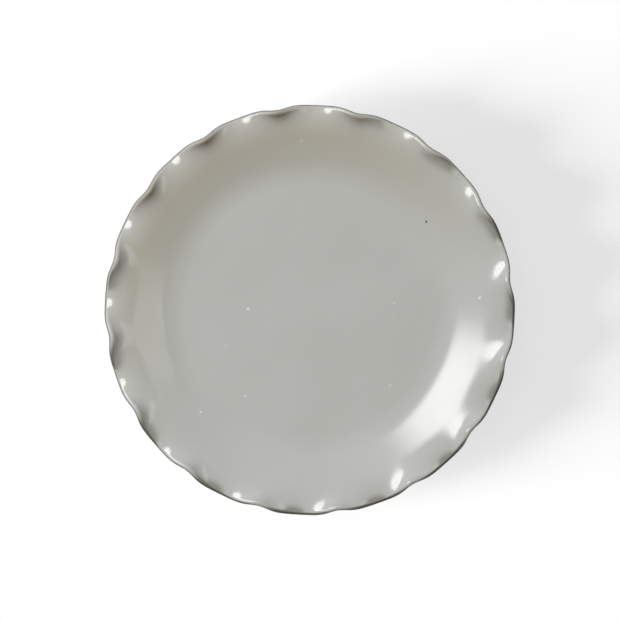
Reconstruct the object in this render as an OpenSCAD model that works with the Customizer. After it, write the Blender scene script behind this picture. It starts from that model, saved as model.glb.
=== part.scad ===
// Scalloped dessert plate in glazed stoneware, in millimetres.
// A shallow dish with a ruffled rim: pinches stand up and are drawn in, and between
// them the lobes flare out and droop. The foot stands on z = 0, the centre of the
// plate is on the z axis, and the middle of a lobe points along +x.

/* [Plate] */
// Diameter across the lobes of the rim
rim_d = 205; // [190:1:260]
// Diameter of the flat floor of the well
well_d = 125; // [100:1:140]
// Radius of the curve that lifts the face of the floor into the wall
well_curve_r = 48.5; // [30:0.5:60]
// Slope of the wall above the well, in degrees
wall_angle = 15.8; // [10:0.1:22]
// Slope of the rim before it is ruffled, in degrees
rim_angle = 7.6; // [4:0.1:18]
// Width of the band in which the wall eases to the slope of the rim
flare_w = 13.9; // [10:0.1:22]

/* [Ruffle] */
// Number of scallops round the rim
scallops = 16; // [10:1:20]
// Width of the ruffled band inside the rim
ruffle_w = 18.9; // [12:0.1:22]
// Depth that a lobe droops below the plain rim
ruffle_rise = 1.85; // [1:0.05:4]
// Depth of the notch that a pinch makes in the outline
notch_depth = 1.6; // [0.4:0.1:2]
// How full the ruffle is between a pinch and a lobe
ruffle_fullness = 0.25; // [0:0.05:0.5]
// How much further a pinch stands up than a lobe droops, as a share of the droop
pinch_crest = 0.75; // [0:0.05:1]
// How late and sharply the ruffle rises across its band
ruffle_power = 4.5; // [2:0.5:5]
// How narrow a notch is along the rim
notch_power = 4; // [1:1:6]

/* [Clay] */
// Thickness of the clay in the floor
floor_t = 4.5; // [3:0.1:7]
// Thickness of the clay at the rim
rim_t = 2.7; // [2:0.1:6]
// Length over which the lip is rounded off
lip_l = 1.5; // [1:0.1:4]

/* [Glaze] */
// Thickness of each coat of glaze
glaze_t = 0.35; // [0.2:0.05:0.6]
// Width of the bare strip that is wiped clean on both sides of the foot
foot_wipe = 1; // [0.5:0.1:2]

/* [Foot] */
// Height of the foot ring below the clay floor
foot_h = 3; // [2:0.1:6]
// Width of the foot ring
foot_w = 6; // [4:0.1:10]
// Distance from the edge of the flat floor in to the foot ring
foot_inset = 2.5; // [2:0.1:12]
// Radius of the rounded edges that the foot stands on
foot_edge_r = 0.8; // [0.3:0.1:1.5]

/* [Hidden] */

// Facets: round each scallop, across the curve, across the ruffle and over half the lip
scallop_steps = 8;
curve_steps = 4;
ruffle_steps = 5;
lip_steps = 4;
// Rings crowd towards the rim by this power
ring_crowding = 1.5;
// Step along the profile that gives its slope
slope_step = 0.01;
$fn = 96;

clay_colour = "#C9B79C";
glaze_colour = "#B1B1AB";

well_r = well_d / 2;
// Slope of a lobe where its lip begins, and how far out the glazed lip reaches from there
lobe_slope = atan(tan(rim_angle) - ruffle_power * ruffle_rise / ruffle_w);
lip_reach = norm([(lip_l + glaze_t) * cos(lobe_slope), (rim_t / 2 + glaze_t) * sin(lobe_slope)]);
edge_r = rim_d / 2 - lip_reach;
ruffle_from = edge_r - ruffle_w;
flare_from = edge_r - flare_w;
face_z = foot_h + floor_t;
foot_out_r = well_r - foot_inset;
foot_in_r = foot_out_r - foot_w;
segments = scallops * scallop_steps;

// Distances from the axis at which the dish is sampled, from the floor to the edge
curve_rings = [for (k = [0 : curve_steps]) well_r + (ruffle_from - well_r) * k / curve_steps];
ruffle_rings = [for (k = [1 : ruffle_steps])
    ruffle_from + ruffle_w * (1 - pow(1 - k / ruffle_steps, ring_crowding))];
dish_rings = concat(curve_rings, ruffle_rings);

// Rise of the face above the floor at distance d, before the rim is ruffled
function wall_rise(d) =
    let (x = max(0, d - well_r))
    let (run = well_curve_r * sin(wall_angle))
    x < run
        ? well_curve_r - sqrt(well_curve_r * well_curve_r - x * x)
        : well_curve_r * (1 - cos(wall_angle)) + (x - run) * tan(wall_angle);

// Height that the wall loses as it eases to the slope of the rim
function flare_drop(d) =
    let (f = max(0, (d - flare_from) / flare_w))
    (tan(wall_angle) - tan(rim_angle)) * flare_w * (f * f - pow(f, 3) / 3);

// 1 at a pinch and -1 in the middle of a lobe
function pinch_wave(a) = -cos(scallops * a);

// 1 at a pinch, falling to 0 on both sides of it
function notch_wave(a) = pow((1 + pinch_wave(a)) / 2, notch_power);

// Height of the ruffle next to the droop of a lobe, with full flanks and a crest on each pinch
function ruffle_wave(a) =
    let (wave = pinch_wave(a))
    wave + ruffle_fullness * (1 - wave * wave) + pinch_crest * notch_wave(a);

// Mid thickness of the clay, [radius, z], at distance d and angle a
function mid_point(d, a) =
    let (f = max(0, (d - ruffle_from) / ruffle_w))
    [
        d - notch_depth * f * f * notch_wave(a),
        face_z + wall_rise(d) - flare_drop(d) - half_t(d)
            + ruffle_rise * pow(f, ruffle_power) * ruffle_wave(a)
    ];

// Slope of the dish at distance d and angle a, in degrees
function slope_at(d, a) =
    let (step = mid_point(d + slope_step, a) - mid_point(d - slope_step, a))
    atan2(step[1], step[0]);

// Half the thickness of the clay at distance d, which changes ever faster towards the lip
function half_t(d) =
    let (f = max(0, (d - well_r) / (edge_r - well_r)))
    (floor_t + (rim_t - floor_t) * f * f) / 2;

// A point on the face (side 1) or the back (side -1), with a coat of the given thickness
function skin_point(d, a, side, coat) =
    let (slope = slope_at(d, a))
    mid_point(d, a) + side * (half_t(d) + coat) * [-sin(slope), cos(slope)];

// The half-elliptic lip, from the face (side 1) or the back (side -1) to its outermost line
function lip_points(a, side, coat) =
    let (centre = mid_point(edge_r, a))
    let (slope = slope_at(edge_r, a))
    let (along = (lip_l + coat) * [cos(slope), sin(slope)])
    let (across = (rim_t / 2 + coat) * [-sin(slope), cos(slope)])
    let (outermost = atan(across[0] / along[0]))
    [for (k = [1 : lip_steps])
        let (turn = side * 90 + (outermost - side * 90) * k / lip_steps)
        centre + along * cos(turn) + across * sin(turn)];

// Profile of the face, from the edge of the floor to the outermost line of the lip
function face_path(a, coat) = concat(
    [for (d = dish_rings) skin_point(d, a, 1, coat)],
    lip_points(a, 1, coat));

// Profile of the back, from the wiped strip at the foot to the outermost line of the lip
function back_path(a, coat) = concat(
    [[foot_out_r + foot_wipe, foot_h - coat]],
    [for (d = dish_rings) skin_point(d, a, -1, coat)],
    lip_points(a, -1, coat));

function reversed(list) = [for (i = [len(list) - 1 : -1 : 0]) list[i]];

// Two triangles for a four-sided patch, split along its shorter diagonal
function patch(points, a, b, c, d) =
    norm(points[a] - points[c]) <= norm(points[b] - points[d])
        ? [[c, b, a], [d, c, a]]
        : [[d, b, a], [d, c, b]];

// Sweeps profiles, one for each angle, round the z axis. A closed profile gives a ring,
// and an open one is closed by a flat disc at each end.
module sweep_round(profiles, closed) {
    n = len(profiles[0]);
    points = [for (j = [0 : segments - 1])
        let (a = 360 * j / segments)
        for (p = profiles[j]) [p[0] * cos(a), p[0] * sin(a), p[1]]];
    sides = [for (j = [0 : segments - 1])
        let (here = j * n)
        let (next = ((j + 1) % segments) * n)
        for (k = [0 : closed ? n - 1 : n - 2])
            let (l = (k + 1) % n)
            each patch(points, here + k, here + l, next + l, next + k)];
    first_disc = [for (j = [segments - 1 : -1 : 0]) j * n];
    last_disc = [for (j = [0 : segments - 1]) j * n + n - 1];
    polyhedron(points, closed ? sides : concat(sides, [first_disc, last_disc]), convexity = 6);
}

function angles() = [for (j = [0 : segments - 1]) 360 * j / segments];

// The fired dish, one body of clay from the floor to the lip
module clay_body() {
    profiles = [for (a = angles())
        let (back = reversed(back_path(a, 0)))
        concat(face_path(a, 0), [for (i = [1 : len(back) - 1]) back[i]])];
    color(clay_colour) sweep_round(profiles, false);
}

// Bare ring that is luted under the floor, with rounded standing edges
module foot_ring() {
    color(clay_colour)
    rotate_extrude() {
        translate([foot_in_r, foot_edge_r]) square([foot_w, foot_h - foot_edge_r]);
        translate([foot_in_r + foot_edge_r, 0]) square([foot_w - 2 * foot_edge_r, foot_h]);
        translate([foot_in_r + foot_edge_r, foot_edge_r]) circle(foot_edge_r);
        translate([foot_out_r - foot_edge_r, foot_edge_r]) circle(foot_edge_r);
    }
}

// Coat on the face, from the middle of the well to the outermost line of the lip
module face_glaze() {
    profiles = [for (a = angles()) concat(face_path(a, glaze_t), reversed(face_path(a, 0)))];
    color(glaze_colour) sweep_round(profiles, false);
}

// Coat on the back, from the outermost line of the lip to the wiped strip at the foot
module back_glaze() {
    profiles = [for (a = angles()) concat(reversed(back_path(a, glaze_t)), back_path(a, 0))];
    color(glaze_colour) sweep_round(profiles, true);
}

// Coat on the floor inside the foot ring
module foot_well_glaze() {
    color(glaze_colour)
    translate([0, 0, foot_h - glaze_t])
    cylinder(r = foot_in_r - foot_wipe, h = glaze_t);
}

clay_body();
foot_ring();
face_glaze();
back_glaze();
foot_well_glaze();
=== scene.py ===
"""Dresses a glazed stoneware dessert plate with a ruffled rim.

The packed solids are the frame. Each piece of the plate is pulled up again over its own solid,
ring by ring as on a potter's wheel, with smooth curves, small marks of the hand and fired
finishes, into which shade is painted on the wall and rim. The plate then stands on a pale floor under a
window's light.
"""
import math
from collections import namedtuple
from functools import partial

import bpy
import numpy as np
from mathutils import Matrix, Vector


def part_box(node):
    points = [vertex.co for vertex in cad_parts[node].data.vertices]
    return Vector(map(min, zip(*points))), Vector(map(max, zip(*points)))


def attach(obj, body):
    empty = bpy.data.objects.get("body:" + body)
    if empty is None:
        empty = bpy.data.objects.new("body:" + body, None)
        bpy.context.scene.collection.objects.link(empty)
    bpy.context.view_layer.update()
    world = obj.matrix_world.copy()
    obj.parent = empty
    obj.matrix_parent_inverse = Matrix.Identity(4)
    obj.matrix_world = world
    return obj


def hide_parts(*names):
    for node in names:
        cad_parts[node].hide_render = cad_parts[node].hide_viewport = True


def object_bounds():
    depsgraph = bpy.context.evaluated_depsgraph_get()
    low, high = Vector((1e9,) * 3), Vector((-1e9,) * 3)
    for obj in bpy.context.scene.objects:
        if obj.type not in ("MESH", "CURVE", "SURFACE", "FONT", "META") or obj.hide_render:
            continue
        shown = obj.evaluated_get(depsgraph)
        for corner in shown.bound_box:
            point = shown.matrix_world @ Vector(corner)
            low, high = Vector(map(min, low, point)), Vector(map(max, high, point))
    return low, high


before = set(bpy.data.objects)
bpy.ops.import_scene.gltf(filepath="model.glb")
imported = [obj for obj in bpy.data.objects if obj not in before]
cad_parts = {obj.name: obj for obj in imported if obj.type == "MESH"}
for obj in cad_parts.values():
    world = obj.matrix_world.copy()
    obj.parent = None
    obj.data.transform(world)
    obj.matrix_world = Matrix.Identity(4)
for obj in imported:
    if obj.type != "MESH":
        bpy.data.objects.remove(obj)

bl_info = {
    "name": "Scalloped Dessert Plate",
    "version": (1, 0, 0),
    "blender": (4, 5, 0),
    "location": "View3D > Sidebar > Plate",
    "description": "Pulls, glazes and sets out a stoneware dessert plate with a ruffled rim",
    "category": "Object",
}

MM = 0.001
CAD_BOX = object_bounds()
FOOT_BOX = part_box("foot_ring")
FOOT_COAT_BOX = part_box("foot_well_glaze")

# Steps of the meshes: round each scallop, over the curve of the wall, over the ruffle,
# over half the lip and round a small edge
SCALLOP_STEPS = 24
CURVE_STEPS = 14
RUFFLE_STEPS = 22
LIP_STEPS = 12
EDGE_STEPS = 5
# Rings crowd towards the rim by this power
RING_CROWDING = 1.5
# Rings on the flat floor, as shares of its radius
FLOOR_RINGS = (0.25, 0.6, 0.9)
# Step along the profile that gives its slope
SLOPE_STEP = 0.01 * MM
# Edges that turn more than this stay crisp
CRISP_ANGLE = math.radians(40)
# Sides of the round floor
FLOOR_SIDES = 96
# Lean of a level direction, from straight up
LEVEL = math.pi / 2
# Step from node to node along a row of the editor
NODE_STEP = 150

# Each pair below is a span over which a mask of a finish or of painted shade rises from none to full.
# By the cosine of the angle round the plate from the light's side: the painted wall shade there,
# and the painted shade on the pinch tops, which takes the place of the painted flank shade there
SHADED_SIDE_SPREAD = (-0.35, 0.85)
PINCH_SHADE_SPREAD = (0.55, 0.95)
# By how far the normal points to the light's side: painted shade on flanks turned away from it
FLANK_SHADE_TURN = (-0.02, -0.2)
# By how far the normal points up: painted flank shade, painted edge shade where the lip turns down, and
# its end below the lip
FLANK_SHADE_UP = (0.0, 0.3)
EDGE_SHADE_UP = (0.88, 0.55)
EDGE_SHADE_END = (-0.5, -0.1)
# By how near the outermost line of the lip is: painted edge shade, painted pinch shade, and dry glaze
LIP_EDGE_SHADE = (0.0, 0.1)
LIP_PINCH_SHADE = (1.0, 0.2)
LIP_DRY = (0.2, 0.45)
# By the noise of clouds or grain: the colour of the clouds, and the roughness
CLOUD_TINT = (0.35, 0.7)
CLOUD_GLOSS = (0.3, 0.7)

# Most that the lip takes of its painted edge shade
EDGE_SHADE_MOST = 0.95
# Share of the iron speck's radius that is fully dark
IRON_CORE = 0.6
# Refractive index of the glaze
GLAZE_IOR = 1.48
# Middle and radius of a panel in its own coordinates
PANEL_MIDDLE = (0.5, 0.5, 0.0)
PANEL_RADIUS = 0.5

FACE = 1
BACK = -1

# A ring of a piece: place gives its radii and heights at given angles, edge says how near it
# lies to the outermost line of the lip, and crest how near to the top of a pinch, from 0 to 1
Ring = namedtuple("Ring", "place edge crest")

# What the glaze goes by at a place: where it is, how far its normal points up and to the light's side,
# its distance from the middle, how far it lies on the light's side, and how near it lies to the
# outermost line of the lip and to the top of a pinch
Clues = namedtuple("Clues", "place up turned away side lip top")


def length(name, description, default):
    """A size that a user may change."""
    return bpy.props.FloatProperty(
        name=name, description=description, default=default, precision=5,
        subtype="DISTANCE", unit="LENGTH")


def angle(name, description, degrees):
    """An angle that a user may change."""
    return bpy.props.FloatProperty(
        name=name, description=description, default=math.radians(degrees),
        subtype="ANGLE", unit="ROTATION")


def number(name, description, default):
    """A plain number that a user may change."""
    return bpy.props.FloatProperty(name=name, description=description, default=default, precision=4)


def colour(name, description, default):
    """A colour that a user may change."""
    return bpy.props.FloatVectorProperty(
        name=name, description=description, default=default, size=3, min=0.0, subtype="COLOR")


class PlateSizes(bpy.types.PropertyGroup):
    """Sizes of the dish, its rim and its foot, as the solids have them."""

    rim_d: length("Rim width", "Diameter across the lobes of the rim", CAD_BOX[1].x - CAD_BOX[0].x)
    well_d: length("Well width", "Diameter of the flat floor of the well", 125 * MM)
    well_curve_r: length("Well curve", "Radius that lifts the floor into the wall", 48.5 * MM)
    wall_angle: angle("Wall slope", "Slope of the wall above the well", 15.8)
    rim_angle: angle("Rim slope", "Slope of the rim before it is ruffled", 7.6)
    flare_w: length("Flare", "Width of the band in which the wall eases to the rim", 13.9 * MM)
    scallops: bpy.props.IntProperty(
        name="Scallops", description="Number of scallops round the rim", default=16)
    ruffle_w: length("Ruffle width", "Width of the ruffled band inside the rim", 18.9 * MM)
    ruffle_rise: length("Ruffle rise", "Depth that a lobe droops below the plain rim", 1.85 * MM)
    ruffle_fullness: number("Ruffle fullness", "How full the ruffle is beside a pinch", 0.25)
    ruffle_power: number("Ruffle power", "How late the ruffle rises across its band", 4.5)
    pinch_crest: number("Pinch crest", "Extra height of a pinch, as a share of a lobe's droop", 0.75)
    notch_depth: length("Notch depth", "Depth of the notch that a pinch makes", 1.6 * MM)
    notch_power: number("Notch power", "How narrow a notch is along the rim", 4)
    floor_t: length("Floor", "Thickness of the clay in the floor", 4.5 * MM)
    rim_t: length("Rim", "Thickness of the clay at the rim", 2.7 * MM)
    lip_l: length("Lip", "Length over which the lip is rounded off", 1.5 * MM)
    glaze_t: length("Glaze", "Thickness of each coat of glaze", FOOT_COAT_BOX[1].z - FOOT_COAT_BOX[0].z)
    foot_h: length("Foot height", "Height of the foot ring", FOOT_BOX[1].z)
    foot_out_r: length("Foot radius", "Outer radius of the foot ring", FOOT_BOX[1].x)
    foot_w: length("Foot width", "Width of the foot ring", 6 * MM)
    foot_edge_r: length("Foot edge", "Radius of the edges that the foot stands on", 0.8 * MM)
    foot_wipe: length("Wiped strip", "Width of the bare strip on both sides of the foot", 1 * MM)


class HandMarks(bpy.types.PropertyGroup):
    """Small marks that the hand leaves on the rim."""

    wander_once: angle("Wander", "How far pinches stray along the rim, once round", 0.55)
    wander_once_at: angle("Wander place", "Where pinches stray most, once round", 90)
    wander_twice: angle("Second wander", "How far pinches stray along the rim, twice round", 0.48)
    wander_twice_at: angle("Second wander place", "Where pinches stray most, twice round", -70)


class GlazeLook(bpy.types.PropertyGroup):
    """Colours and gloss of the grey glaze, and the shade painted into its colour."""

    body: colour("Glaze", "Colour of the glaze", (0.443, 0.443, 0.409))
    shade: colour("Cloud", "Colour of the faint clouds in the glaze", (0.426, 0.427, 0.392))
    # Painted shade: the lip darkened where it turns down, in place of its shaded outer side
    edge_shade: colour("Painted edge shade", "Colour where the glaze thins over the lip", (0.05, 0.046, 0.036))
    # Painted shade: the wall is darker and warmer on the side that the light comes from, where it faces
    # away from the light; this and the next five lines set it
    shaded_side: colour("Painted side shade", "Colour on the side that faced the flame", (0.413, 0.39, 0.322))
    shaded_side_at: angle("Light's side for painted shade", "Direction that the flame came from", 119)
    shaded_side_from: length("Side shade begins", "Distance from the middle at which it begins", 60 * MM)
    shaded_side_full: length("Side shade full", "Distance from the middle at which its colour is full", 88 * MM)
    shaded_side_end: length("Side shade end", "Distance from the middle at which it has faded", 101 * MM)
    shaded_side_rim: number("Side shade on the rim", "How much of the flame colour is left at the rim", 0.35)
    # Painted shade and dark reflection on the pinch tops, strongest on the light's side; this and the
    # next two lines set it
    pinch_shade: colour("Painted pinch shade", "Colour that the glaze breaks to on the pinches", (0.165, 0.11, 0.055))
    pinch_shade_near: number("Pinch shade on the light's side", "How far the glaze breaks on the flame side", 0.67)
    pinch_shade_far: number("Pinch shade away from it", "How far the glaze breaks on the other side", 0.05)
    # Painted shade on ruffle flanks turned away from the light; this and the next four lines set it
    flank_shade: colour("Painted flank shade", "Colour where the rim turns away from the flame", (0.16, 0.15, 0.118))
    flank_shade_share: number("Flank shade share", "How much of that colour the rim takes", 0.57)
    flank_shade_creep: number("Flank shade on the edge", "How much further in the thin edge reaches on that side", 0.35)
    flank_shade_from: length("Flank shade begins", "Distance from the middle at which that colour begins", 94 * MM)
    flank_shade_full: length("Flank shade full", "Distance from the middle at which that colour is full", 102 * MM)
    pale_speck: colour("Pale speck", "Colour of the pale specks", (0.75, 0.75, 0.73))
    iron_speck: colour("Iron speck", "Colour of the iron speck", (0.02, 0.017, 0.012))
    iron_x: length("Iron speck x", "Place of the iron speck along x", 55.95 * MM)
    iron_y: length("Iron speck y", "Place of the iron speck along y", 47.35 * MM)
    iron_r: length("Iron speck size", "Radius of the iron speck", 0.65 * MM)
    dry_edge: number("Dry edge", "Roughness that thin glaze adds on the lip", 0.35)
    gloss_low: number("Least roughness", "Roughness where the glaze is smoothest", 0.09)
    gloss_high: number("Most roughness", "Roughness where the glaze is dullest", 0.13)


class ClayLook(bpy.types.PropertyGroup):
    """Colours and texture of the bare clay."""

    body: colour("Clay", "Colour of the bare clay", (0.58, 0.47, 0.34))
    shade: colour("Dark clay", "Colour of the darker clouds in the clay", (0.46, 0.36, 0.25))
    grit: colour("Grit", "Colour of the iron grit in the clay", (0.16, 0.1, 0.06))
    gloss_low: number("Least roughness", "Roughness where the clay is smoothest", 0.78)
    gloss_high: number("Most roughness", "Roughness where the clay is dullest", 0.92)
    line_scale: number("Turning lines", "How close together the turning lines lie", 260)
    line_stray: number("Line stray", "How much the turning lines stray", 1.5)


class StageLook(bpy.types.PropertyGroup):
    """Floor, lights and camera."""

    turn: angle("Turn", "Turn of the plate under the camera", 3.1)
    camera_height: length("Camera height", "Height of the camera over the floor", 1200 * MM)
    view_w: length("View width", "Width of the view at the height of the lobes", 310.4 * MM)
    view_x: length("View offset", "How far the camera stands to the right of the axis", 0.12 * MM)
    lobe_z: length("Lobe height", "Height of the outermost line of a lobe", 10.5 * MM)
    window_at: angle("Window direction", "Direction of the window round the plate", 149.5)
    window_lean: angle("Window lean", "Angle from straight up to the window", 36.5)
    window_far: length("Window distance", "Distance of the window", 4000 * MM)
    window_w: length("Window width", "Width of the window", 2560 * MM)
    window_h: length("Window height", "Height of the window", 2960 * MM)
    window_clear: number("Window clear", "Share of its radius over which the window is bright", 0.56)
    window_tint: colour("Window tint", "Colour of the window's light", (0.97, 0.975, 1))
    window_glow: number("Window glow", "Radiance of the window", 11.7)
    side_at: angle("Side light direction", "Direction of the side light round the plate", 6)
    side_lean: angle("Side light lean", "Angle from straight up to the side light", 32.3)
    side_w: length("Side light width", "Width of the side light", 2100 * MM)
    side_h: length("Side light height", "Height of the side light", 1250 * MM)
    side_glow: number("Side light glow", "Radiance of the side light", 1.85)
    room_at: angle("Bright side", "Direction of the bright side of the room", 115)
    room_bright: colour("Bright room", "Light from the bright side of the room", (0.7, 0.735, 0.79))
    room_middle: colour("Room", "Light from overhead", (0.333, 0.333, 0.33))
    room_dark: colour("Dark room", "Light from the dark side of the room", (0.06, 0.04, 0.01))
    floor_sun_at: angle("Floor lamp direction", "Direction that the floor's lamp shines from", 193)
    floor_sun_height: angle("Floor lamp height", "Angle of the floor's lamp over the floor", 6.6)
    floor_sun_spread: angle("Floor lamp spread", "Angle that softens the shadow on the floor", 25)
    floor_sun_level: number("Floor lamp level", "Light of the floor's lamp, next to the room's", 6)
    floor_glow: number("Floor glow", "Even white of the floor under its light", 0.716)
    floor_catch: number("Floor catch", "How strongly the floor shows its light and shadow", 0.04)
    floor_bounce: number("Floor bounce", "How much of its light the floor gives back", 0.08)
    floor_r: length("Floor size", "Radius of the floor", 6000 * MM)


class DishForm:
    """Shape of the dish: places on its mid thickness, its skins and its lip."""

    def __init__(self, sizes, marks):
        self.sizes = sizes
        self.marks = marks
        self.well_r = sizes.well_d / 2
        lobe_slope = math.atan(
            math.tan(sizes.rim_angle) - sizes.ruffle_power * sizes.ruffle_rise / sizes.ruffle_w)
        lip_reach = math.hypot(
            (sizes.lip_l + sizes.glaze_t) * math.cos(lobe_slope),
            (sizes.rim_t / 2 + sizes.glaze_t) * math.sin(lobe_slope))
        self.edge_r = sizes.rim_d / 2 - lip_reach
        self.ruffle_from = self.edge_r - sizes.ruffle_w
        self.flare_from = self.edge_r - sizes.flare_w
        self.face_z = sizes.foot_h + sizes.floor_t
        self.segments = sizes.scallops * SCALLOP_STEPS
        self.angles = np.linspace(0, 2 * math.pi, self.segments, endpoint=False)

    def wall_rise(self, d):
        """Rise of the wall above the floor, before the rim is ruffled."""
        s = self.sizes
        x = max(0.0, d - self.well_r)
        run = s.well_curve_r * math.sin(s.wall_angle)
        if x < run:
            return s.well_curve_r - math.sqrt(s.well_curve_r ** 2 - x * x)
        lift = s.well_curve_r * (1 - math.cos(s.wall_angle))
        return lift + (x - run) * math.tan(s.wall_angle)

    def flare_drop(self, d):
        """Height that the wall loses as it eases to the slope of the rim."""
        s = self.sizes
        f = max(0.0, (d - self.flare_from) / s.flare_w)
        return (math.tan(s.wall_angle) - math.tan(s.rim_angle)) * s.flare_w * (f * f - f ** 3 / 3)

    def pinch_wave(self, a):
        """1 at a pinch and -1 in the middle of a lobe. Pinches stray a little along the rim."""
        m = self.marks
        stray = m.wander_once * np.cos(a - m.wander_once_at)
        stray = stray + m.wander_twice * np.cos(2 * (a - m.wander_twice_at))
        return -np.cos(self.sizes.scallops * (a - stray))

    def squeeze(self, a):
        """1 at a pinch, falling to 0 on both sides of it."""
        return ((1 + self.pinch_wave(a)) / 2) ** self.sizes.notch_power

    def mid_point(self, d, a):
        """Radii and heights of the mid thickness of the clay."""
        s = self.sizes
        f = max(0.0, (d - self.ruffle_from) / s.ruffle_w)
        pinch = self.pinch_wave(a)
        wave = pinch + s.ruffle_fullness * (1 - pinch * pinch) + s.pinch_crest * self.squeeze(a)
        plain_z = self.face_z + self.wall_rise(d) - self.flare_drop(d) - self.half_t(d)
        r = d - s.notch_depth * f * f * self.squeeze(a)
        return r, plain_z + s.ruffle_rise * f ** s.ruffle_power * wave

    def crest(self, d, a):
        """How near a place lies to the top of a pinch."""
        f = max(0.0, (d - self.ruffle_from) / self.sizes.ruffle_w)
        return f ** (2 * self.sizes.ruffle_power) * self.squeeze(a)

    def slope(self, d, a):
        """Slope of the dish along its profile."""
        low_r, low_z = self.mid_point(d - SLOPE_STEP, a)
        high_r, high_z = self.mid_point(d + SLOPE_STEP, a)
        return np.arctan2(high_z - low_z, high_r - low_r)

    def half_t(self, d):
        """Half the thickness of the clay, which changes ever faster towards the lip."""
        s = self.sizes
        f = max(0.0, (d - self.well_r) / (self.edge_r - self.well_r))
        return (s.floor_t + (s.rim_t - s.floor_t) * f * f) / 2

    def skin(self, d, side, coat, a):
        """Radii and heights on the face or the back, under a coat."""
        r, z = self.mid_point(d, a)
        slope = self.slope(d, a)
        out = side * (self.half_t(d) + coat)
        return r - out * np.sin(slope), z + out * np.cos(slope)

    def lip(self, share, side, coat, a):
        """Radii and heights on the half-elliptic lip, from the skin to its outermost line."""
        r, z = self.mid_point(self.edge_r, a)
        slope = self.slope(self.edge_r, a)
        along = self.sizes.lip_l + coat
        across = self.sizes.rim_t / 2 + coat
        start = side * math.pi / 2
        turn = start + (-np.arctan(across / along * np.tan(slope)) - start) * share
        out = along * np.cos(turn)
        up = across * np.sin(turn)
        lip_r = r + out * np.cos(slope) - up * np.sin(slope)
        lip_z = z + out * np.sin(slope) + up * np.cos(slope)
        return lip_r, lip_z

    def wall_rings(self, side, coat):
        """Rings of a skin from the edge of the floor to the outermost line of the lip."""
        curve = np.linspace(self.well_r, self.ruffle_from, CURVE_STEPS)
        shares = np.arange(1, RUFFLE_STEPS + 1) / RUFFLE_STEPS
        ruffle = self.ruffle_from + self.sizes.ruffle_w * (1 - (1 - shares) ** RING_CROWDING)
        skin = [Ring(partial(self.skin, d, side, coat), 0.0, partial(self.crest, d))
                for d in (*curve, *ruffle)]
        lip = [Ring(partial(self.lip, t, side, coat), t, self.squeeze)
               for t in np.arange(1, LIP_STEPS + 1) / LIP_STEPS]
        return skin + lip

    def floor_rings(self, height, radius):
        """Rings on a flat floor, from near the middle outwards."""
        return [plain_ring(radius * share, height) for share in FLOOR_RINGS]


def plain_ring(radius, height):
    """A ring that stays level and round."""
    return Ring(lambda a: (np.full_like(a, radius), np.full_like(a, height)), 0.0, np.zeros_like)


def arc_rings(centre_r, centre_z, radius, start, end):
    """Level rings along an arc of the profile, between two angles in degrees."""
    turns = np.radians(np.linspace(start, end, EDGE_STEPS))
    return [plain_ring(centre_r + radius * math.cos(t), centre_z + radius * math.sin(t)) for t in turns]


def plate_form(context):
    """The shape of the dish at the sizes that the panel shows."""
    return DishForm(context.scene.plate_sizes, context.scene.plate_marks)


def pull_rings(form, name, rings, hollow):
    """Pulls a wall from ring to ring and closes it, then bends every ring to its own place.

    A hollow piece is closed onto its first ring, and a solid one by a disc at each end.
    """
    plain = [[float(part.mean()) for part in ring.place(form.angles)] for ring in rings]
    bpy.ops.object.select_all(action="DESELECT")
    bpy.ops.mesh.primitive_circle_add(
        vertices=form.segments, radius=plain[0][0], location=(0, 0, plain[0][1]),
        fill_type="NOTHING" if hollow else "TRIFAN")
    bpy.ops.object.transform_apply(location=True, rotation=True, scale=True)
    piece = bpy.context.object
    piece.name = name
    piece.data.name = name

    bpy.ops.object.mode_set(mode="EDIT")
    bpy.ops.mesh.select_mode(type="EDGE")
    bpy.ops.mesh.select_all(action="DESELECT")
    bpy.ops.mesh.select_non_manifold()
    for (from_r, from_z), (to_r, to_z) in zip(plain, plain[1:]):
        bpy.ops.mesh.extrude_edges_move(TRANSFORM_OT_translate={"value": (0, 0, to_z - from_z)})
        grow = to_r / from_r
        bpy.ops.transform.resize(value=(grow, grow, 1), center_override=(0, 0, 0))
    if hollow:
        bpy.ops.mesh.select_all(action="DESELECT")
        bpy.ops.mesh.select_non_manifold()
        bpy.ops.mesh.bridge_edge_loops()
    else:
        bpy.ops.mesh.edge_face_add()
        bpy.ops.mesh.poke()
    bpy.ops.mesh.select_all(action="SELECT")
    bpy.ops.mesh.normals_make_consistent(inside=False)
    bpy.ops.object.mode_set(mode="OBJECT")

    bend_rings(piece.data, rings, plain)
    bpy.ops.object.shade_smooth_by_angle(angle=CRISP_ANGLE)
    require_closed(piece)
    return piece


def bend_rings(mesh, rings, plain):
    """Moves the vertices of each plain ring to that ring's place.

    Notes at each vertex how near it lies to the edge of the lip and to the top of a pinch.
    """
    points = np.empty(len(mesh.vertices) * 3)
    mesh.vertices.foreach_get("co", points)
    points = points.reshape(-1, 3)
    radius = np.hypot(points[:, 0], points[:, 1])
    around = np.arctan2(points[:, 1], points[:, 0])
    plain_r, plain_z = np.array(plain).T
    off = np.hypot(radius[:, None] - plain_r, points[:, 2:] - plain_z)
    ring_of = off.argmin(axis=1)
    on_axis = radius < plain_r.min() / 2
    edge = np.zeros(len(points))
    crest = np.zeros(len(points))
    for k, ring in enumerate(rings):
        mine = (ring_of == k) & ~on_axis
        r, z = ring.place(around[mine])
        points[mine] = np.column_stack((r * np.cos(around[mine]), r * np.sin(around[mine]), z))
        edge[mine] = ring.edge
        crest[mine] = ring.crest(around[mine])
    mesh.vertices.foreach_set("co", points.ravel())
    mesh.attributes.new("lip_edge", "FLOAT", "POINT").data.foreach_set("value", edge)
    mesh.attributes.new("pinch_top", "FLOAT", "POINT").data.foreach_set("value", crest)
    mesh.update()


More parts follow.
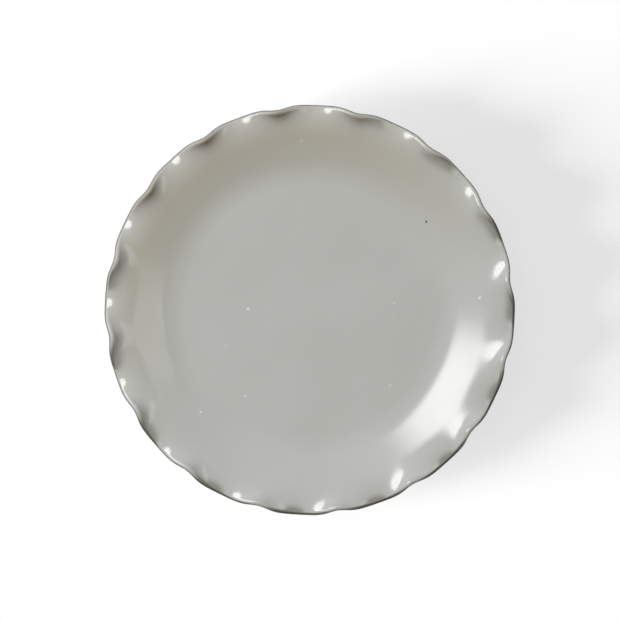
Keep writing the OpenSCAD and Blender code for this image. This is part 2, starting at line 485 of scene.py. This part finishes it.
def require_closed(piece):
    """Stops the build if a seam of the piece is open."""
    edges = np.empty(len(piece.data.loops), dtype=np.int32)
    piece.data.loops.foreach_get("edge_index", edges)
    if not (np.bincount(edges, minlength=len(piece.data.edges)) == 2).all():
        raise RuntimeError(f"{piece.name} has an open seam")


def finish_piece(piece, material, node):
    """Gives a piece its finish, and puts it in place of its solid."""
    piece.data.materials.clear()
    piece.data.materials.append(material)
    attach(piece, "root")
    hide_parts(node)


def direction(at, lean):
    """Unit vector at an angle round the axis, leaning from straight up."""
    return Vector((math.sin(lean) * math.cos(at), math.sin(lean) * math.sin(at), math.cos(lean)))


def add_node(tree, kind, x, y, **settings):
    """Adds a node at a place in the editor, with settings."""
    node = tree.nodes.new(kind)
    node.location = (x, y)
    for key, value in settings.items():
        setattr(node, key, value)
    return node


def feed(tree, socket, value):
    """Gives a socket its value, which is another socket to link, a colour or a number."""
    if isinstance(value, bpy.types.NodeSocket):
        tree.links.new(value, socket)
    elif socket.type == "RGBA":
        socket.default_value = (*value, 1.0)
    else:
        socket.default_value = value


def add_mix(tree, x, y, factor, first, second):
    """Mixes two colours. Each may be a socket or a colour."""
    node = add_node(tree, "ShaderNodeMix", x, y, data_type="RGBA")
    tree.links.new(factor, node.inputs["Factor"])
    first_in, second_in = (socket for socket in node.inputs if socket.type == "RGBA")
    feed(tree, first_in, first)
    feed(tree, second_in, second)
    return next(socket for socket in node.outputs if socket.type == "RGBA")


def add_range(tree, x, y, value, span, low=0.0, high=1.0):
    """Maps a value smoothly from a span onto two levels. Each limit may be a socket or a number."""
    node = add_node(tree, "ShaderNodeMapRange", x, y, interpolation_type="SMOOTHSTEP")
    tree.links.new(value, node.inputs["Value"])
    limits = {"From Min": span[0], "From Max": span[1], "To Min": low, "To Max": high}
    for name, limit in limits.items():
        feed(tree, node.inputs[name], limit)
    return node.outputs["Result"]


def add_math(tree, x, y, operation, first, second):
    """Works out one sum. Each value may be a socket or a number."""
    node = add_node(tree, "ShaderNodeMath", x, y, operation=operation)
    feed(tree, node.inputs[0], first)
    feed(tree, node.inputs[1], second)
    return node.outputs["Value"]


def add_product(tree, x, y, first, *others):
    """Multiplies values, in a row of nodes that starts at a place in the editor."""
    for k, other in enumerate(others):
        first = add_math(tree, x + NODE_STEP * k, y, "MULTIPLY", first, other)
    return first


def add_vector_math(tree, x, y, operation, vector, fixed):
    """Works out a value, such as a distance, from a vector and a fixed one."""
    node = add_node(tree, "ShaderNodeVectorMath", x, y, operation=operation)
    tree.links.new(vector, node.inputs[0])
    node.inputs[1].default_value = fixed
    return node.outputs["Value"]


def add_bump(tree, shader, height, strength, depth):
    """Roughens the surface of a shader by a height."""
    bump = add_node(tree, "ShaderNodeBump", 200, -250)
    bump.inputs["Strength"].default_value = strength
    bump.inputs["Distance"].default_value = depth
    tree.links.new(height, bump.inputs["Height"])
    tree.links.new(bump.outputs["Normal"], shader.inputs["Normal"])


def new_group(name, inputs, outputs):
    """Starts a node group with named sockets, and returns it with its two ends."""
    group = bpy.data.node_groups.new(name, "ShaderNodeTree")
    for socket, kind in inputs:
        group.interface.new_socket(socket, in_out="INPUT", socket_type=kind)
    for socket, kind in outputs:
        group.interface.new_socket(socket, in_out="OUTPUT", socket_type=kind)
    return group, add_node(group, "NodeGroupInput", -600, 0), add_node(group, "NodeGroupOutput", 600, 0)


def speck_group():
    """Specks scattered in a fired surface, one in some of the cells of a random lattice."""
    group = bpy.data.node_groups.get("Fired specks")
    if group:
        return group
    inputs = (("Vector", "NodeSocketVector"), ("Scale", "NodeSocketFloat"),
              ("Share", "NodeSocketFloat"), ("Size", "NodeSocketFloat"))
    group, start, end = new_group("Fired specks", inputs, (("Mask", "NodeSocketFloat"),))
    cells = add_node(group, "ShaderNodeTexVoronoi", -400, 0)
    group.links.new(start.outputs["Vector"], cells.inputs["Vector"])
    group.links.new(start.outputs["Scale"], cells.inputs["Scale"])
    lot = add_node(group, "ShaderNodeSeparateColor", -200, -150)
    group.links.new(cells.outputs["Color"], lot.inputs["Color"])
    chosen = add_math(group, 0, -150, "LESS_THAN", lot.outputs["Red"], start.outputs["Share"])
    spot = add_range(group, 0, 100, cells.outputs["Distance"], (start.outputs["Size"], 0.0))
    group.links.new(add_product(group, 300, 0, chosen, spot), end.inputs["Mask"])
    return group


def cloud_group():
    """Soft clouds and fine grain of a fired surface."""
    group = bpy.data.node_groups.get("Fired clouds")
    if group:
        return group
    inputs = (("Vector", "NodeSocketVector"), ("Cloud scale", "NodeSocketFloat"),
              ("Grain scale", "NodeSocketFloat"))
    outputs = (("Cloud", "NodeSocketFloat"), ("Grain", "NodeSocketFloat"))
    group, start, end = new_group("Fired clouds", inputs, outputs)
    details = {"Cloud": 3.0, "Grain": 2.0}
    for row, (name, detail) in enumerate(details.items()):
        noise = add_node(group, "ShaderNodeTexNoise", 0, -300 * row)
        noise.inputs["Detail"].default_value = detail
        group.links.new(start.outputs["Vector"], noise.inputs["Vector"])
        group.links.new(start.outputs[f"{name} scale"], noise.inputs["Scale"])
        group.links.new(noise.outputs["Fac"], end.inputs[name])
    return group


def add_group(tree, x, y, group, vector, **values):
    """Places a node group in a material with its own values."""
    node = add_node(tree, "ShaderNodeGroup", x, y, node_tree=group)
    tree.links.new(vector, node.inputs["Vector"])
    for name, value in values.items():
        node.inputs[name.replace("_", " ")].default_value = value
    return node


def new_material(name):
    """Starts a material, and returns it with its tree, its shader and its coordinates."""
    material = bpy.data.materials.new(name)
    material.use_nodes = True
    tree = material.node_tree
    tree.nodes.clear()
    output = add_node(tree, "ShaderNodeOutputMaterial", 900, 0)
    shader = add_node(tree, "ShaderNodeBsdfPrincipled", 600, 0)
    tree.links.new(shader.outputs["BSDF"], output.inputs["Surface"])
    place = add_node(tree, "ShaderNodeTexCoord", -1200, 0)
    return material, tree, shader, place


def glaze_clues(tree, coordinates, shaded_side):
    """Reads off what the glaze goes by at each place, for light from a given direction, which sets
    where shade is painted.
    """
    place = coordinates.outputs["Object"]
    normal = coordinates.outputs["Normal"]
    facing = add_node(tree, "ShaderNodeSeparateXYZ", -900, -250)
    tree.links.new(normal, facing.inputs["Vector"])
    away = add_vector_math(tree, -900, 450, "DISTANCE", place, (0, 0, 0))
    towards = add_vector_math(tree, -900, 700, "DOT_PRODUCT", place, shaded_side)
    side = add_math(tree, -750, 700, "DIVIDE", towards, away)
    turned = add_vector_math(tree, -900, 1100, "DOT_PRODUCT", normal, shaded_side)
    lip = add_node(tree, "ShaderNodeAttribute", -900, -100, attribute_name="lip_edge")
    top = add_node(tree, "ShaderNodeAttribute", -900, 950, attribute_name="pinch_top")
    return Clues(place, facing.outputs["Z"], turned, away, side, lip.outputs["Fac"], top.outputs["Fac"])


def shaded_side_mask(tree, clues, look):
    """Painted shade of the wall on the light's side, which faces away from the light: full on the wall,
    and fainter towards the rim.
    """
    near = add_range(tree, -650, 650, clues.side, SHADED_SIDE_SPREAD)
    inner = add_range(tree, -650, 500, clues.away, (look.shaded_side_from, look.shaded_side_full))
    fading = (look.shaded_side_full, look.shaded_side_end)
    outer = add_range(tree, -650, 350, clues.away, fading, 1.0, look.shaded_side_rim)
    return add_product(tree, -450, 550, near, inner, outer)


def pinch_shade_mask(tree, clues, look):
    """Painted shade and dark reflection on the tops of the pinches, most of all on the light's side."""
    below = add_range(tree, -650, 950, clues.lip, LIP_PINCH_SHADE)
    share = add_range(tree, -650, 800, clues.side, PINCH_SHADE_SPREAD, look.pinch_shade_far, look.pinch_shade_near)
    return add_product(tree, -450, 900, clues.top, below, share)


def flank_shade_mask(tree, clues, look):
    """Painted shade on flanks of the ruffle that turn away from the light, near the rim and off the
    pinch tops.
    """
    turned = add_range(tree, -650, 1100, clues.turned, FLANK_SHADE_TURN)
    share = add_range(tree, -650, 1250, clues.side, PINCH_SHADE_SPREAD, look.flank_shade_share, 0.0)
    band = add_range(tree, -650, 1400, clues.away, (look.flank_shade_from, look.flank_shade_full))
    upward = add_range(tree, -650, 1550, clues.up, FLANK_SHADE_UP)
    flank = add_range(tree, -650, 1700, clues.top, (1.0, 0.0))
    return add_product(tree, -450, 1150, turned, share, band, upward, flank)


def edge_shade_mask(tree, clues, look, flank_shade):
    """Painted shade on the lip where it turns down: it reaches further in on the shaded flanks, and
    ends below the lip.
    """
    creep = add_math(tree, -850, -450, "MULTIPLY", flank_shade, look.flank_shade_creep)
    rise = add_math(tree, -750, -150, "SUBTRACT", clues.up, creep)
    turning = add_range(tree, -650, -100, rise, EDGE_SHADE_UP, 0.0, EDGE_SHADE_MOST)
    on_lip = add_range(tree, -650, 50, clues.lip, LIP_EDGE_SHADE)
    above = add_range(tree, -650, -400, clues.up, EDGE_SHADE_END)
    return add_product(tree, -450, -50, turning, on_lip, above)


def iron_mask(tree, clues, look, form):
    """One round speck on the wall, where the face is still plain all round."""
    reach = math.hypot(look.iron_x, look.iron_y)
    face_z = form.skin(reach, FACE, form.sizes.glaze_t, np.zeros(1))[1]
    spot = (look.iron_x, look.iron_y, float(face_z[0]))
    off = add_vector_math(tree, -900, -550, "DISTANCE", clues.place, spot)
    return add_range(tree, -650, -550, off, (look.iron_r, look.iron_r * IRON_CORE))


def grey_glaze(context):
    """Glossy grey glaze with clouds and specks, and painted shade on the wall of the light's side, the
    pinch tops, flanks turned from the light and the turned-down lip.
    """
    material = bpy.data.materials.get("Grey glaze")
    if material:
        return material
    look = context.scene.plate_glaze
    material, tree, shader, coordinates = new_material("Grey glaze")
    # Direction of the light's side, which places the painted shade in the glaze
    clues = glaze_clues(tree, coordinates, direction(look.shaded_side_at, LEVEL))
    clouds = add_group(tree, -900, 200, cloud_group(), clues.place, Cloud_scale=28.0, Grain_scale=420.0)
    pale = add_group(tree, -900, -300, speck_group(), clues.place, Scale=95.0, Share=0.2, Size=0.1)
    flank_shade = flank_shade_mask(tree, clues, look)
    # After the clouds come four layers of painted shade: the wall on the light's side, the pinch tops,
    # the flanks turned from the light and the turned-down lip; then the specks
    layers = (
        (add_range(tree, -650, 250, clouds.outputs["Cloud"], CLOUD_TINT), look.shade),
        (shaded_side_mask(tree, clues, look), look.shaded_side),
        (pinch_shade_mask(tree, clues, look), look.pinch_shade),
        (flank_shade, look.flank_shade),
        (edge_shade_mask(tree, clues, look, flank_shade), look.edge_shade),
        (pale.outputs["Mask"], look.pale_speck),
        (iron_mask(tree, clues, look, plate_form(context)), look.iron_speck),
    )
    tint = look.body
    for k, (mask, layer) in enumerate(layers):
        tint = add_mix(tree, NODE_STEP * k - 450, 250, mask, tint, layer)
    tree.links.new(tint, shader.inputs["Base Color"])

    levels = (look.gloss_low, look.gloss_high)
    rough = add_range(tree, -400, 0, clouds.outputs["Cloud"], CLOUD_GLOSS, *levels)
    dry = add_range(tree, -650, -250, clues.lip, LIP_DRY, 0.0, look.dry_edge)
    rough = add_math(tree, -200, -50, "ADD", rough, dry)
    tree.links.new(rough, shader.inputs["Roughness"])
    add_bump(tree, shader, clouds.outputs["Grain"], strength=0.25, depth=0.02 * MM)
    shader.inputs["IOR"].default_value = GLAZE_IOR
    return material


def bare_clay(context):
    """Matt buff clay with grain, iron grit and fine turning lines."""
    material = bpy.data.materials.get("Bare clay")
    if material:
        return material
    look = context.scene.plate_clay
    material, tree, shader, coordinates = new_material("Bare clay")
    place = coordinates.outputs["Object"]
    clouds = add_group(tree, -900, 200, cloud_group(), place, Cloud_scale=90.0, Grain_scale=1500.0)
    grit = add_group(tree, -900, -200, speck_group(), place, Scale=700.0, Share=0.12, Size=0.35)
    tint = add_mix(tree, -400, 250, clouds.outputs["Cloud"], look.body, look.shade)
    tint = add_mix(tree, -200, 150, grit.outputs["Mask"], tint, look.grit)
    tree.links.new(tint, shader.inputs["Base Color"])

    levels = (look.gloss_low, look.gloss_high)
    rough = add_range(tree, -400, 0, clouds.outputs["Grain"], CLOUD_GLOSS, *levels)
    tree.links.new(rough, shader.inputs["Roughness"])
    lines = add_node(tree, "ShaderNodeTexWave", -900, -450, wave_type="RINGS", rings_direction="Z")
    lines.inputs["Scale"].default_value = look.line_scale
    lines.inputs["Distortion"].default_value = look.line_stray
    tree.links.new(place, lines.inputs["Vector"])
    height = add_math(tree, -400, -350, "ADD", lines.outputs["Fac"], clouds.outputs["Grain"])
    add_bump(tree, shader, height, strength=0.5, depth=0.08 * MM)
    return material


class PLATE_OT_throw_clay_dish(bpy.types.Operator):
    """Pulls the clay dish: floor, wall and ruffled rim in one body"""

    bl_idname = "plate.throw_clay_dish"
    bl_label = "Throw Clay Dish"

    def execute(self, context):
        form = plate_form(context)
        s = form.sizes
        top = form.floor_rings(s.foot_h + s.floor_t, form.well_r)
        under = form.floor_rings(s.foot_h, form.well_r)
        face = form.wall_rings(FACE, 0)
        back = form.wall_rings(BACK, 0)[:-1]
        piece = pull_rings(form, "clay_dish", top + face + back[::-1] + under[::-1], hollow=False)
        finish_piece(piece, bare_clay(context), "clay_body")
        return {"FINISHED"}


class PLATE_OT_turn_foot_ring(bpy.types.Operator):
    """Turns the bare foot ring that the plate stands on"""

    bl_idname = "plate.turn_foot_ring"
    bl_label = "Turn Foot Ring"

    def execute(self, context):
        form = plate_form(context)
        s = form.sizes
        in_r = s.foot_out_r - s.foot_w
        r = s.foot_edge_r
        outer = arc_rings(s.foot_out_r - r, r, r, 0, -90)
        inner = arc_rings(in_r + r, r, r, -90, -180)
        top = [plain_ring(in_r, s.foot_h), plain_ring(s.foot_out_r, s.foot_h)]
        piece = pull_rings(form, "bare_foot_ring", outer + inner + top, hollow=True)
        finish_piece(piece, bare_clay(context), "foot_ring")
        return {"FINISHED"}


class PLATE_OT_glaze_face(bpy.types.Operator):
    """Coats the face, from the middle of the well to the outermost line of the lip"""

    bl_idname = "plate.glaze_face"
    bl_label = "Glaze Face"

    def execute(self, context):
        form = plate_form(context)
        s = form.sizes
        clay_z = s.foot_h + s.floor_t
        outside = form.floor_rings(clay_z + s.glaze_t, form.well_r) + form.wall_rings(FACE, s.glaze_t)
        inside = form.floor_rings(clay_z, form.well_r) + form.wall_rings(FACE, 0)
        piece = pull_rings(form, "face_coat", outside + inside[::-1], hollow=False)
        finish_piece(piece, grey_glaze(context), "face_glaze")
        return {"FINISHED"}


class PLATE_OT_glaze_back(bpy.types.Operator):
    """Coats the back, from the outermost line of the lip to the wiped strip at the foot"""

    bl_idname = "plate.glaze_back"
    bl_label = "Glaze Back"

    def execute(self, context):
        form = plate_form(context)
        s = form.sizes
        end_r = s.foot_out_r + s.foot_wipe
        rolled_end = arc_rings(end_r + s.glaze_t, s.foot_h, s.glaze_t, 180, 270)
        outside = rolled_end + form.wall_rings(BACK, s.glaze_t)
        inside = form.wall_rings(BACK, 0)
        piece = pull_rings(form, "back_coat", outside + inside[::-1], hollow=True)
        finish_piece(piece, grey_glaze(context), "back_glaze")
        return {"FINISHED"}


class PLATE_OT_glaze_foot_well(bpy.types.Operator):
    """Coats the floor inside the foot ring"""

    bl_idname = "plate.glaze_foot_well"
    bl_label = "Glaze Foot Well"

    def execute(self, context):
        form = plate_form(context)
        s = form.sizes
        end_r = s.foot_out_r - s.foot_w - s.foot_wipe
        under = form.floor_rings(s.foot_h - s.glaze_t, end_r)
        rolled_end = arc_rings(end_r - s.glaze_t, s.foot_h, s.glaze_t, -90, 0)
        top = form.floor_rings(s.foot_h, end_r)
        piece = pull_rings(form, "foot_well_coat", under + rolled_end + top[::-1], hollow=False)
        finish_piece(piece, grey_glaze(context), "foot_well_glaze")
        return {"FINISHED"}


def floor_material(look):
    """White floor: its own even glow, with the lamp's light and the plate's shadow laid over it.

    Rays that light the plate see a plain pale floor instead, and from below the floor is clear.
    """
    material = bpy.data.materials.new("Pale floor")
    material.use_nodes = True
    tree = material.node_tree
    tree.nodes.clear()
    rays = add_node(tree, "ShaderNodeLightPath", -900, 300).outputs
    seen = add_math(tree, -650, 300, "MAXIMUM", rays["Is Camera Ray"], rays["Is Glossy Ray"])
    seen = add_math(tree, -450, 300, "MAXIMUM", seen, rays["Is Transmission Ray"])
    glow = add_node(tree, "ShaderNodeEmission", -450, 100)
    glow.inputs["Color"].default_value = (1, 1, 1, 1)
    glow.inputs["Strength"].default_value = look.floor_glow
    catch = add_node(tree, "ShaderNodeBsdfDiffuse", -450, -50)
    catch.inputs["Color"].default_value = (look.floor_catch,) * 3 + (1,)
    shown = add_node(tree, "ShaderNodeAddShader", -200, 50)
    tree.links.new(glow.outputs["Emission"], shown.inputs[0])
    tree.links.new(catch.outputs["BSDF"], shown.inputs[1])
    bounce = add_node(tree, "ShaderNodeBsdfDiffuse", -200, -150)
    bounce.inputs["Color"].default_value = (look.floor_bounce,) * 3 + (1,)
    floor = add_node(tree, "ShaderNodeMixShader", 50, 50)
    tree.links.new(seen, floor.inputs["Fac"])
    tree.links.new(bounce.outputs["BSDF"], floor.inputs[1])
    tree.links.new(shown.outputs["Shader"], floor.inputs[2])
    facing = add_node(tree, "ShaderNodeNewGeometry", 50, 300)
    clear = add_node(tree, "ShaderNodeBsdfTransparent", 50, -150)
    either = add_node(tree, "ShaderNodeMixShader", 300, 50)
    tree.links.new(facing.outputs["Backfacing"], either.inputs["Fac"])
    tree.links.new(floor.outputs["Shader"], either.inputs[1])
    tree.links.new(clear.outputs["BSDF"], either.inputs[2])
    output = add_node(tree, "ShaderNodeOutputMaterial", 550, 50)
    tree.links.new(either.outputs["Shader"], output.inputs["Surface"])
    return material


def lay_floor(look):
    """Lays the round floor that the plate stands on."""
    bpy.ops.object.select_all(action="DESELECT")
    bpy.ops.mesh.primitive_circle_add(vertices=FLOOR_SIDES, radius=look.floor_r, fill_type="NGON")
    floor = bpy.context.object
    floor.name = "pale_floor"
    floor.data.materials.append(floor_material(look))
    return floor


def light_floor(floor, look):
    """Shines a low lamp on the floor alone, where the plate throws a soft shadow."""
    bpy.ops.object.light_add(type="SUN")
    sun = bpy.context.object
    sun.name = "floor_lamp"
    from_sun = direction(look.floor_sun_at + look.turn, LEVEL - look.floor_sun_height)
    sun.rotation_euler = (-from_sun).to_track_quat("-Z", "Y").to_euler()
    sun.data.angle = look.floor_sun_spread
    sun.data.energy = math.pi * look.floor_sun_level / math.sin(look.floor_sun_height)
    lit = bpy.data.collections.new("Lit by the floor lamp")
    lit.objects.link(floor)
    sun.light_linking.receiver_collection = lit


def room_world(look):
    """Room light: bright and cool on one side, dark and warm on the other."""
    world = bpy.data.worlds.new("Room")
    world.use_nodes = True
    tree = world.node_tree
    tree.nodes.clear()
    place = add_node(tree, "ShaderNodeTexCoord", -900, 0)
    bright_side = direction(look.room_at + look.turn, LEVEL)
    towards = add_vector_math(tree, -700, 0, "DOT_PRODUCT", place.outputs["Generated"], bright_side)
    share = add_node(tree, "ShaderNodeMapRange", -500, 0)
    tree.links.new(towards, share.inputs["Value"])
    share.inputs["From Min"].default_value = -1
    ramp = add_node(tree, "ShaderNodeValToRGB", -300, 0)
    tree.links.new(share.outputs["Result"], ramp.inputs["Fac"])
    ramp.color_ramp.elements[0].color = (*look.room_dark, 1)
    ramp.color_ramp.elements[1].color = (*look.room_bright, 1)
    ramp.color_ramp.elements.new(0.5).color = (*look.room_middle, 1)
    background = add_node(tree, "ShaderNodeBackground", 0, 0)
    tree.links.new(ramp.outputs["Color"], background.inputs["Color"])
    output = add_node(tree, "ShaderNodeOutputWorld", 200, 0)
    tree.links.new(background.outputs["Background"], output.inputs["Surface"])
    return world


def hang_panel(name, towards, far, width, height, glow, tint):
    """Hangs a flat glowing oval that faces the plate, and returns its lamp."""
    bpy.ops.object.light_add(type="AREA", location=towards * far)
    panel = bpy.context.object
    panel.name = name
    panel.rotation_euler = (-towards).to_track_quat("-Z", "Y").to_euler()
    panel.visible_camera = False
    lamp = panel.data
    lamp.shape = "ELLIPSE"
    lamp.color = tint
    lamp.size = width
    lamp.size_y = height
    # Each unit of its area gives off pi times the radiance
    lamp.energy = glow * math.pi * (math.pi * width * height / 4)
    return lamp


def soften_panel(lamp, clear):
    """Fades the glow of a panel from a share of its radius out to its edge."""
    lamp.use_nodes = True
    tree = lamp.node_tree
    place = add_node(tree, "ShaderNodeNewGeometry", -500, 0)
    reach = add_vector_math(tree, -300, 0, "DISTANCE", place.outputs["Parametric"], PANEL_MIDDLE)
    fade = add_range(tree, 0, 0, reach, (PANEL_RADIUS, PANEL_RADIUS * clear))
    tree.links.new(fade, tree.nodes["Emission"].inputs["Strength"])


def place_camera(look):
    """Hangs the camera over the plate, so that it looks straight down."""
    place = direction(look.turn, LEVEL) * look.view_x + Vector((0, 0, look.camera_height))
    bpy.ops.object.camera_add(location=place, rotation=(0, 0, look.turn))
    camera = bpy.context.object
    camera.data.lens = camera.data.sensor_width * (look.camera_height - look.lobe_z) / look.view_w
    return camera


class PLATE_OT_set_stage(bpy.types.Operator):
    """Sets out the floor, the lights and the camera"""

    bl_idname = "plate.set_stage"
    bl_label = "Set Stage"

    def execute(self, context):
        scene = context.scene
        look = scene.plate_stage
        floor = lay_floor(look)
        window = direction(look.window_at + look.turn, look.window_lean)
        pane = hang_panel("window", window, look.window_far, look.window_w, look.window_h,
                          look.window_glow, look.window_tint)
        soften_panel(pane, look.window_clear)
        side = direction(look.side_at + look.turn, look.side_lean)
        hang_panel("side_light", side, look.window_far, look.side_w, look.side_h,
                   look.side_glow, look.window_tint)
        light_floor(floor, look)
        scene.world = room_world(look)
        scene.view_settings.view_transform = "Standard"
        scene.camera = place_camera(look)
        return {"FINISHED"}


class PLATE_PT_workbench(bpy.types.Panel):
    """Sizes, looks and steps of the plate"""

    bl_idname = "PLATE_PT_workbench"
    bl_label = "Dessert Plate"
    bl_space_type = "VIEW_3D"
    bl_region_type = "UI"
    bl_category = "Plate"

    def draw(self, context):
        for name, kind in GROUPS.items():
            box = self.layout.box()
            box.label(text=kind.__doc__)
            for prop in kind.__annotations__:
                box.prop(getattr(context.scene, name), prop)
        for step in STEPS:
            self.layout.operator(step.bl_idname)


GROUPS = {
    "plate_sizes": PlateSizes,
    "plate_marks": HandMarks,
    "plate_glaze": GlazeLook,
    "plate_clay": ClayLook,
    "plate_stage": StageLook,
}
STEPS = (
    PLATE_OT_throw_clay_dish,
    PLATE_OT_turn_foot_ring,
    PLATE_OT_glaze_face,
    PLATE_OT_glaze_back,
    PLATE_OT_glaze_foot_well,
    PLATE_OT_set_stage,
)


def register():
    for kind in (*GROUPS.values(), *STEPS, PLATE_PT_workbench):
        bpy.utils.register_class(kind)
    for name, kind in GROUPS.items():
        setattr(bpy.types.Scene, name, bpy.props.PointerProperty(type=kind))


def unregister():
    for name in GROUPS:
        delattr(bpy.types.Scene, name)
    for kind in (PLATE_PT_workbench, *reversed(STEPS), *reversed(GROUPS.values())):
        bpy.utils.unregister_class(kind)


def main():
    register()
    bpy.ops.plate.throw_clay_dish()
    bpy.ops.plate.turn_foot_ring()
    bpy.ops.plate.glaze_face()
    bpy.ops.plate.glaze_back()
    bpy.ops.plate.glaze_foot_well()
    bpy.ops.plate.set_stage()


if __name__ == "__main__":
    main()
